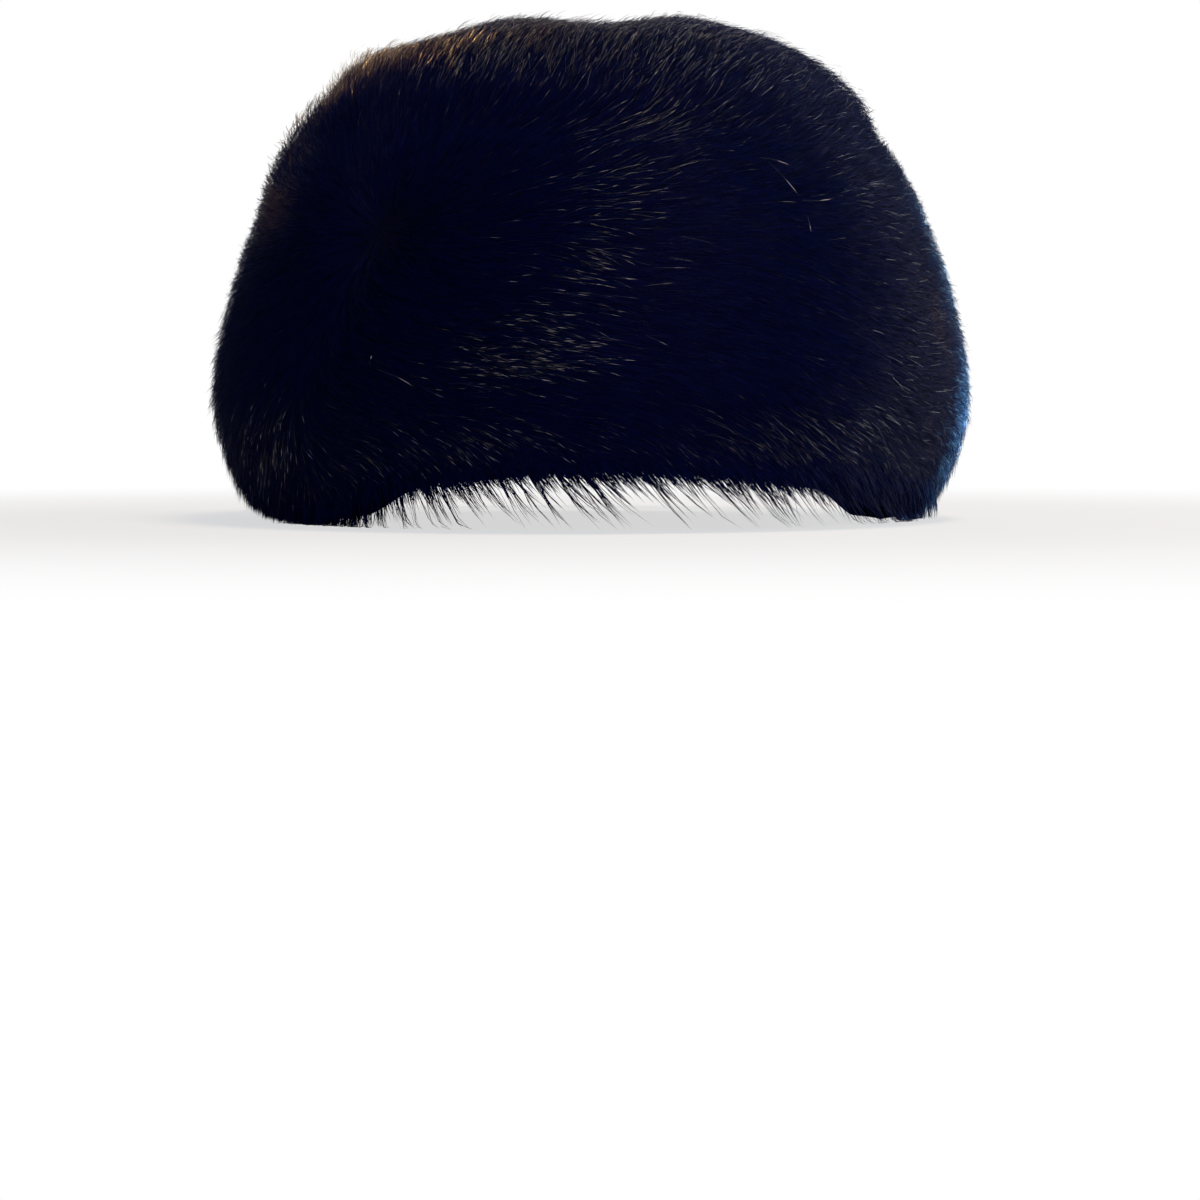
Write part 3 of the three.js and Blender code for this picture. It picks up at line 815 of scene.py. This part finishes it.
def hair_piece(name, lines, tone, width, node, material=guard_hair):
    """Many hairs as one piece. Each is a tapered ribbon with the normals of a thin cylinder."""
    lines = on_floor(lines)
    n, knots = lines.shape[:2]
    points, normals = ribbon_points(lines, width)
    along = np.arange(knots) / (knots - 1)
    along = np.concatenate([along[:-1], along[:-1], along[-1:]])
    per_hair = len(along)
    corner = (np.arange(n)[:, None, None] * per_hair + ribbon_triangles(knots - 1)[None]).reshape(-1)
    faces = len(corner) // 3
    mesh = bpy.data.meshes.new(name)
    mesh.vertices.add(n * per_hair)
    mesh.vertices.foreach_set("co", (points * MM).astype(np.float32).ravel())
    mesh.loops.add(len(corner))
    mesh.loops.foreach_set("vertex_index", corner.astype(np.int32))
    mesh.polygons.add(faces)
    mesh.polygons.foreach_set("loop_start", np.arange(0, len(corner), 3, dtype=np.int32))
    mesh.polygons.foreach_set("use_smooth", np.ones(faces, bool))
    for label, values in (("along", np.tile(along, n)), ("tone", np.repeat(tone, per_hair))):
        mesh.attributes.new(label, "FLOAT", "POINT").data.foreach_set("value", values.astype(np.float32))
    mesh.update(calc_edges=True)
    normal_data = mesh.attributes.new("custom_normal", "FLOAT_VECTOR", "POINT").data
    normal_data.foreach_set("vector", normals.astype(np.float32).ravel())
    mesh.update()
    new_piece(name, mesh, material, node)


def solid_under(name):
    """The solid that a piece of the coat stands for."""
    return "crown_fur" if name.startswith("crown") else "side_band_fur"


# %% Hairs of the crown and the band
CROWN_ROOTS, BAND_ROOTS = (0.59, 0.77), (0.67, 0.86)  # shares of the fur's depth where hairs start
COAT_HAIR, COAT_WIDTHS = dict(length=8.6, spread=1.2, gather=0.13), (0.08, 0.17)
FRONT_ENDS, SIDES_END = 45, 110  # of the panels of the band, in degrees
clump_points = look(fur_map, coat_places)
of_crown = in_crown(clump_points)
degrees = np.degrees(np.arctan2(clump_points[:, 0], -clump_points[:, 1]))
PANELS = {
    "crown_fur_front": of_crown & (np.abs(degrees) < 90),
    "crown_fur_back": of_crown & (np.abs(degrees) >= 90),
    "side_band_fur_front": ~of_crown & (np.abs(degrees) < FRONT_ENDS),
    "side_band_fur_right": ~of_crown & (degrees >= FRONT_ENDS) & (degrees < SIDES_END),
    "side_band_fur_left": ~of_crown & (degrees <= -FRONT_ENDS) & (degrees > -SIDES_END),
    "side_band_fur_back_right": ~of_crown & (degrees >= SIDES_END),
    "side_band_fur_back_left": ~of_crown & (degrees <= -SIDES_END),
}
for name, chosen in PANELS.items():
    roots = CROWN_ROOTS if name.startswith("crown") else BAND_ROOTS
    lines, tones = grow(coat_places[chosen], HAIRS_IN_CLUMP, roots=roots, **COAT_HAIR)
    hair_piece(name, lines, tones, rng.uniform(*COAT_WIDTHS, len(lines)), solid_under(name))

# %% [markdown]
# ## Hairs with a painted glint
# Here and there a hair catches the light as a fine bright dash, and these hairs carry that glint painted on
# as a pale colour. They could be hidden in the coat's own random numbers, but on the real hat they stand
# in loose groups, so each group gets a row: where it is, how far it spreads, how many hairs it has and how
# pale they are. They lie on top of the coat.

# %% Hairs with a painted glint where the coat catches the light
GLINT_PATCHES = [  # azimuth, level, reach round the hat, reach down it, hairs, paleness; angles in degrees
    (-13, 0.33, 17, 0.05, 520, 0.60),
    (26, 0.33, 14, 0.05, 300, 0.50),
    (12, 0.47, 10, 0.035, 130, 0.50),
    (1, 0.57, 7, 0.03, 90, 0.60),
    (-2, 0.64, 5, 0.03, 80, 0.70),
    (-8, 0.755, 5, 0.032, 170, 1.0),
    (-16, 0.79, 5, 0.025, 80, 0.9),
    (-20, 0.90, 9, 0.02, 120, 0.75),
    (-37, 0.93, 6, 0.02, 60, 0.6),
    (-56, 0.865, 6, 0.035, 150, 1.0),
    (34, 0.90, 15, 0.035, 260, 0.30),
    (58, 0.62, 12, 0.16, 300, 0.26),
    (180, 0.50, 40, 0.22, 1300, 0.7),
    (112, 0.50, 24, 0.20, 500, 0.6),
    (-130, 0.55, 17, 0.18, 460, 0.6),
]
PALE_HAIR = dict(length=7.6, spread=0.5, gather=0, roots=(0.82, 0.92), rise=0.13, scatter=0.09, segments=3)
PALE_WIDTHS = 0.08, 0.135
for name, is_crown in (("crown_fur_glint_painted_hairs", True), ("side_band_fur_glint_painted_hairs", False)):
    spots, paleness = [], []
    for patch_azimuth, patch_level, reach_round, reach_down, count, pale in GLINT_PATCHES:
        level = np.clip(rng.normal(patch_level, reach_down, count), 0.02, 0.95)
        spots.append(on_map(level, np.radians(rng.normal(patch_azimuth, reach_round, count))))
        paleness.append(pale * rng.uniform(0.2, 1, count) ** 2)
    spots, paleness = np.concatenate(spots), np.concatenate(paleness)
    chosen = in_crown(look(fur_map, spots)) == is_crown
    lines, _ = grow(spots[chosen], 1, **PALE_HAIR)
    widths = rng.uniform(*PALE_WIDTHS, len(lines))
    hair_piece(name, lines, paleness[chosen], widths, solid_under(name), glint_painted_hair)

# %% [markdown]
# ## Brown hairs over the edge of the crown
# Where light comes from behind, the tips of a fur turn from black to brown and gold, because a thin tip
# lets light through. Instead of a costly see-through hair, small clumps of brown-tipped hairs are combed
# backwards over the front edge of the crown and its left shoulder, where a lamp behind the hat picks
# them out.

# %% Brown hairs over the edge of the crown
SHOULDER_CLUMPS, EDGE_CLUMPS = 150, 1100
BROWN_HAIR = dict(length=8.0, spread=1.5, gather=0.3, scatter=0.14, segments=3)
BROWN_WIDTHS = 0.08, 0.16
shoulder_level = rng.uniform(0.14, 0.46, SHOULDER_CLUMPS)
in_front = 14 * rng.normal(0.2, 0.5, SHOULDER_CLUMPS)  # of the hat's middle, in millimetres
half_depth = DEPTH_TO_WIDTH * curve_at(fur_rows, shoulder_level)[:, 0]
shoulder_azimuth = -np.arccos(np.clip(in_front / half_depth, -1, 1))
edge_level = np.clip(rng.normal(0.22, 0.09, EDGE_CLUMPS), 0.02, 0.46)
edge_azimuth = np.radians(rng.normal(-8, 42, EDGE_CLUMPS))
for name, level, azimuth, hairs, rise, roots, most_brown in (
    ("crown_fur_brown_hairs", shoulder_level, shoulder_azimuth, 5, 0.30, (0.76, 0.90), 1.0),
    ("crown_fur_edge_hairs", edge_level, edge_azimuth, 2, 0.13, (0.68, 0.82), 0.5),
):
    lines, tones = grow(on_map(level, azimuth), hairs, roots=roots, rise=rise, **BROWN_HAIR)
    widths = rng.uniform(*BROWN_WIDTHS, len(lines))
    hair_piece(name, lines, tones * most_brown, widths, solid_under(name), brown_hair)

# %% [markdown]
# ## Stray hairs
# A few hairs have come loose and lie across the others. There are so few that each is listed one by one:
# two ends as seen from the front and a bow between them, laid on the skin.

# %% Stray hairs that cross the rest
STRAYS = [  # across and up at both ends, seen from the front, and bow, in millimetres
    (41.6, 77.4, 51.0, 77.6, 0.4),
    (41.6, 89.0, 49.7, 86.6, 0.6),
    (44.0, 88.0, 51.2, 78.7, 0.5),
    (52.0, 78.7, 59.7, 79.2, -0.4),
    (53.0, 74.5, 53.2, 70.0, 0.2),
    (-51.0, 35.0, -40.5, 29.0, 0.7),
    (-53.0, 36.2, -51.8, 39.0, 0.2),
]
STRAY_WIDTH = 0.19
STRAY_HEIGHT, STRAY_TIP_HEIGHT = 0.9, 0.7  # above the skin, and what the tip adds to it


def front_place(x, z):
    """Place on the map that is seen at x, z from the front."""
    tries = np.linspace(0.02, 1, 400)
    radius, height = curve_at(fur_rows, tries).T
    level = np.interp(-z, -height, tries)
    return on_map(level, np.arcsin(np.clip(x / np.interp(level, tries, radius), -1, 1)))


share = np.linspace(0, 1, 5)
stray_lines = []
for x0, z0, x1, z1, bow in STRAYS:
    bent = bow * np.sin(math.pi * share)
    spots = front_place(x0 + (x1 - x0) * share, z0 + (z1 - z0) * share + bent)
    raised = look(out_map, spots) * (STRAY_HEIGHT + STRAY_TIP_HEIGHT * share[:, None])
    stray_lines.append(look(fur_map, spots) + raised)
# The strays take the pale hairs' colour, so their pale dash is a painted glint.
stray_tones, stray_widths = np.linspace(0.75, 1, len(STRAYS)), np.full(len(STRAYS), STRAY_WIDTH)
hair_piece("stray_hairs", np.stack(stray_lines), stray_tones, stray_widths, "side_band_fur", glint_painted_hair)

# %% [markdown]
# ## The fringe
# At the lower edge the coat has nothing to lie on, so its hairs hang free in fine points. Simply longer
# hairs all round would look like a brush. Instead small tufts draw together to a tip, loose hairs fill
# the gaps between them, and short ones cover the edge all round. They lean the way the coat was combed.

# %% Hairs that hang from the edge
FRINGE_LEAN = [  # degrees round the hat, degrees below the edge
    (-180, 90), (-110, 112), (-70, 95), (-53, 86), (-40, 74), (-30, 56), (-16, 47),
    (2, 42), (40, 37), (63, 38), (80, 46), (110, 66), (180, 90),
]
FRINGE_KNOTS = 4
ROOT_INSIDE, ROOT_ABOVE = 0.4, np.array([0, 0, 0.6])  # of a hair from the edge, in millimetres
STEEPER, LESS_STEEP = 0.12, 0.10  # a hair starts steeper than its lean, and each step turns it back
OUTWARDS, LESS_OUTWARDS = 0.22, 0.10  # it starts a little outwards too
UP = np.array([0, 0, 1])


def fringe_lines(azimuth, length, lean_change, highest=0.94):
    """Hairs that hang from the lower edge and lean as the coat was combed there."""
    lean = np.radians(np.interp(azimuth, *np.array(FRINGE_LEAN, float).T) + lean_change)[:, None]
    azimuth = np.radians(azimuth)
    level = rng.uniform(highest, 1.0, len(azimuth))
    start = skin(fur_rows, level, azimuth)
    along_edge = unit(skin(fur_rows, level, azimuth + 0.01) - start)
    away = np.stack([np.sin(azimuth), -np.cos(azimuth), np.zeros(len(azimuth))], -1)
    line = [start - away * ROOT_INSIDE + ROOT_ABOVE]
    for k in range(FRINGE_KNOTS - 1):
        angle = lean + STEEPER - LESS_STEEP * k
        outwards = away * (OUTWARDS - LESS_OUTWARDS * k)
        heading = along_edge * np.cos(angle) - UP * np.sin(angle) + outwards
        line.append(line[-1] + heading * (length / (FRINGE_KNOTS - 1))[:, None])
    return np.stack(line, 1)


print("the fringe leans by", [f(lean for _, lean in FRINGE_LEAN) for f in (min, max)], "degrees")

# %% Fringe under the front edge
FRINGE_FROM, FRINGE_TO = -64, 92  # degrees round the hat
TUFTS, HAIRS_IN_TUFT, LOOSE_HAIRS, FOOT_HAIRS = 330, 5, 9200, 5400
TUFT_PULL = np.array([0, 0.38, 0.70, 0.90])  # how far tufts draw together, from root to tip
tuft_azimuth = np.linspace(FRINGE_FROM, FRINGE_TO, TUFTS) + rng.uniform(-0.8, 0.8, TUFTS)
tuft_length = 8 + 14 * rng.uniform(0, 1, TUFTS) ** 1.6  # most are short, a few long
tuft_turn = rng.normal(3, 6, TUFTS)
tuft_of = np.repeat(np.arange(TUFTS), HAIRS_IN_TUFT)
tuft_middle = fringe_lines(tuft_azimuth, tuft_length, tuft_turn, highest=0.97)[tuft_of]
hair_azimuth = tuft_azimuth[tuft_of] + rng.normal(0, 0.16, len(tuft_of))
hair_length = tuft_length[tuft_of] * rng.uniform(0.6, 1.05, len(tuft_of))
hair_turn = tuft_turn[tuft_of] + rng.normal(0, 4, len(tuft_of))
tuft_hairs = fringe_lines(hair_azimuth, hair_length, hair_turn, highest=0.96)
tuft_hairs = gathered(tuft_hairs, tuft_middle, hair_length / tuft_length[tuft_of], TUFT_PULL)
loose_hairs = fringe_lines(
    rng.uniform(FRINGE_FROM, FRINGE_TO, LOOSE_HAIRS),
    2.6 + 6.4 * rng.uniform(0, 1, LOOSE_HAIRS) ** 2.0,
    rng.normal(4, 10, LOOSE_HAIRS),
)
foot_hairs = fringe_lines(
    rng.uniform(-180, 180, FOOT_HAIRS), rng.uniform(2, 3.8, FOOT_HAIRS), rng.normal(0, 14, FOOT_HAIRS)
)
fringe = np.concatenate([tuft_hairs, loose_hairs, foot_hairs])
fringe_tones = rng.uniform(0, 0.9, len(fringe))
fringe_widths = 1.3 * rng.uniform(0.10, 0.18, len(fringe))
hair_piece("side_band_fur_fringe", fringe, fringe_tones, fringe_widths, "side_band_fur")

# %% [markdown]
# ## The floor
# The hat stands on a pale floor before a white wall. A far floor always shows its edge as a grey line, so
# this one glows, for the camera alone: by two thirds near the hat, where its soft shadow still shows, and
# wholly from half a metre on. Other light meets a plain light grey, which keeps the underside of the hat
# from glowing. The paper is warm, because the light that reaches it is a little blue.

# %% Floor and backdrop
FLOOR_HALF = 6.0
PAPER, DIM_GREY, WHITE = (1.0, 0.90, 0.78, 1), (0.75, 0.75, 0.75, 1), (1, 1, 1, 1)
GLOW_NEAR, GLOW_FAR = 0.12, 0.45  # distances from the middle of the hat
GLOW_SHARES = 0.66, 1.0  # at those distances


def floor_object():
    """A white floor that glows a little for the camera alone, so that it has no far edge."""
    mesh = bpy.data.meshes.new("floor")
    corners = [(x * FLOOR_HALF, y * FLOOR_HALF, 0) for x, y in ((-1, -1), (1, -1), (1, 1), (-1, 1))]
    mesh.from_pydata(corners, [], [(0, 1, 2, 3)])
    material, tree, paper = new_material("pale floor")
    set_inputs(paper, {"Base Color": PAPER, "Roughness": 0.9, "Specular IOR Level": 0.0})
    nodes = tree.nodes
    dim = set_inputs(nodes.new("ShaderNodeBsdfDiffuse"), {"Color": DIM_GREY})
    glow = set_inputs(nodes.new("ShaderNodeEmission"), {"Color": WHITE})
    place, distance = nodes.new("ShaderNodeNewGeometry"), nodes.new("ShaderNodeVectorMath")
    distance.operation = "LENGTH"
    glow_share = smooth_range(nodes, GLOW_NEAR, GLOW_FAR, *GLOW_SHARES)
    for_camera, last = nodes.new("ShaderNodeMixShader"), nodes.new("ShaderNodeMixShader")
    wire(
        tree,
        (place, "Position", distance, 0),
        (distance, "Value", glow_share, "Value"),
        (glow_share, "Result", for_camera, "Fac"),
        (paper, "BSDF", for_camera, 1),
        (glow, "Emission", for_camera, 2),
        (nodes.new("ShaderNodeLightPath"), "Is Camera Ray", last, "Fac"),
        (dim, "BSDF", last, 1),
        (for_camera, "Shader", last, 2),
        (last, "Shader", nodes["Material Output"], "Surface"),
    )
    mesh.materials.append(material)
    new_object("floor", mesh)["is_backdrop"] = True


floor_object()
print("floor of", 2 * FLOOR_HALF, "m a side")

# %% [markdown]
# ## The light
# Dark fur shows its shape only by the light that slides along its hairs. So a soft lamp above picks out
# the crown, two on the right pick out the side of the band, and weak ones stand in front and behind.
# Narrow spots behind the hat do the rest: a low blue one draws the right edge, a warm one turns the brown
# tips on the left shoulder to gold, and two light the back. The room gives a little blue, more from the
# right, because a bright even room would make black fur look grey.

# %% Lights
SPOT_SOFTNESS, SPOT_RADIUS = 1.0, 0.03


def hang_lamp(light, place, target, watts, colour):
    """Put a lamp in its place and turn it to its target."""
    light.energy, light.color = watts, colour
    made = new_object(light.name, light)
    made.location = place
    made.rotation_euler = (Vector(target) - Vector(place)).to_track_quat("-Z", "Y").to_euler()


def soft_light(name, place, target, size, watts, colour):
    """A large lamp with soft shadows."""
    light = bpy.data.lights.new(name, "AREA")
    light.shape, light.size, light.size_y = "RECTANGLE", *size
    hang_lamp(light, place, target, watts, colour)


def spot_light(name, place, target, spread, watts, colour):
    """A lamp that lights a small round part of the hat, with a soft edge."""
    light = bpy.data.lights.new(name, "SPOT")
    light.spot_size, light.spot_blend = math.radians(spread), SPOT_SOFTNESS
    light.shadow_soft_size = SPOT_RADIUS
    hang_lamp(light, place, target, watts, colour)


soft_light("top light", (0.28, -0.30, 1.31), (0, 0, 0.08), (0.5, 0.35), 8.8, (1, 0.88, 0.76))
soft_light("back light", (-0.05, 1.3, 0.9), (0, 0, 0.1), (0.6, 0.3), 1.9, (1, 0.86, 0.74))
soft_light("right light", (1.1, 0.52, 0.18), (0, 0, 0.05), (0.3, 0.6), 7.2, (0.92, 0.95, 1))
spot_light("right rim lamp", (0.50, 1.30, 0.05), (0.094, 0, 0.024), 4.4, 85, (0.15, 0.47, 1))
soft_light("right fill", (0.64, -1.08, 0.04), (0.05, 0, 0.02), (0.4, 0.08), 3.2, (0.80, 0.84, 1))
soft_light("front light", (-0.35, -1.4, 0.5), (0, 0, 0.05), (0.3, 0.3), 2.0, (0.10, 0.42, 1))
spot_light("back right lamp", (0.50, 1.30, 0.45), (0.036, 0.112, 0.066), 7.0, 60, (0.92, 0.95, 1))
spot_light("back left lamp", (-0.80, 1.10, 0.45), (-0.046, 0.104, 0.064), 7.0, 60, (0.92, 0.95, 1))
spot_light("shoulder lamp", (-0.36, 1.07, 0.50), (-0.056, 0.0, 0.122), 4.0, 20, (1, 0.58, 0.24))
print(len(bpy.data.lights), "lamps")

# %% Light of the room
ROOM_LEFT, ROOM_RIGHT = (0.015, 0.03, 0.08, 1), (0.025, 0.11, 0.26, 1)


def room_light():
    """White for the camera, and for the hat a dim blue that grows from left to right."""
    world = bpy.data.worlds.new("studio")
    world.use_nodes = True
    nodes = world.node_tree.nodes
    direction, parts = nodes.new("ShaderNodeTexCoord"), nodes.new("ShaderNodeSeparateXYZ")
    to_right = set_inputs(nodes.new("ShaderNodeMapRange"), {"From Min": -1.0})
    room, sky = nodes.new("ShaderNodeMix"), nodes.new("ShaderNodeMix")
    room.data_type = sky.data_type = "RGBA"
    set_inputs(room, {"A": ROOM_LEFT, "B": ROOM_RIGHT})
    set_inputs(sky, {"B": WHITE})
    wire(
        world.node_tree,
        (direction, "Generated", parts, "Vector"),
        (parts, "X", to_right, "Value"),
        (to_right, "Result", room, "Factor"),
        (room, "Result", sky, "A"),
        (nodes.new("ShaderNodeLightPath"), "Is Camera Ray", sky, "Factor"),
        (sky, "Result", nodes["Background"], "Color"),
    )
    return world


bpy.context.scene.world = room_light()
bpy.context.scene.view_settings.view_transform = "Standard"
print("room from", ROOM_LEFT[:3], "on the left to", ROOM_RIGHT[:3], "on the right")

# %% [markdown]
# ## The camera
# The camera stands low, at the height of the band, so that light shows under the lifted front edge. Its
# lens and aim follow from the size of the hat in the picture: so many pixels to the millimetre, the
# middle of the hat at one column and its foot at one row.

# %% Camera
PIXELS_PER_MM = 3.8
IMAGE_SIDE = 1200
HAT_MIDDLE_PX, HAT_FOOT_PX = 591, 519
SENSOR_WIDTH = 36
DISTANCE, CAMERA_HEIGHT, CLIP_START = 1.0, 0.030, 0.01

camera_data = bpy.data.cameras.new("camera")
camera = new_object("camera", camera_data)
bpy.context.scene.camera = camera
camera_data.sensor_width = SENSOR_WIDTH
camera_data.lens = SENSOR_WIDTH * DISTANCE / (IMAGE_SIDE / PIXELS_PER_MM * MM)
camera_data.clip_start = CLIP_START
off_middle = IMAGE_SIDE / 2 - HAT_MIDDLE_PX, 0, HAT_FOOT_PX - IMAGE_SIDE / 2
aim = Vector([pixels / PIXELS_PER_MM * MM for pixels in off_middle])
camera.location = (aim.x, -DISTANCE, CAMERA_HEIGHT)
camera.rotation_euler = (aim - camera.location).to_track_quat("-Z", "Y").to_euler()
print("lens", round(camera_data.lens, 1), "mm")

# %% [markdown]
# ## Sizes
# The dressed hat should fill the same box as the plain solids, give or take the tips of its hairs; both
# boxes are printed.

# %% Sizes and finish
print(len(pieces), "pieces,", sum(triangle_count(piece.data) for piece in pieces), "triangles in all")
dressed_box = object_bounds()
for side, low, high in (("solids", *solid_box), ("dressed", *dressed_box)):
    print(side, [round(v, 4) for v in (*low, *high)])
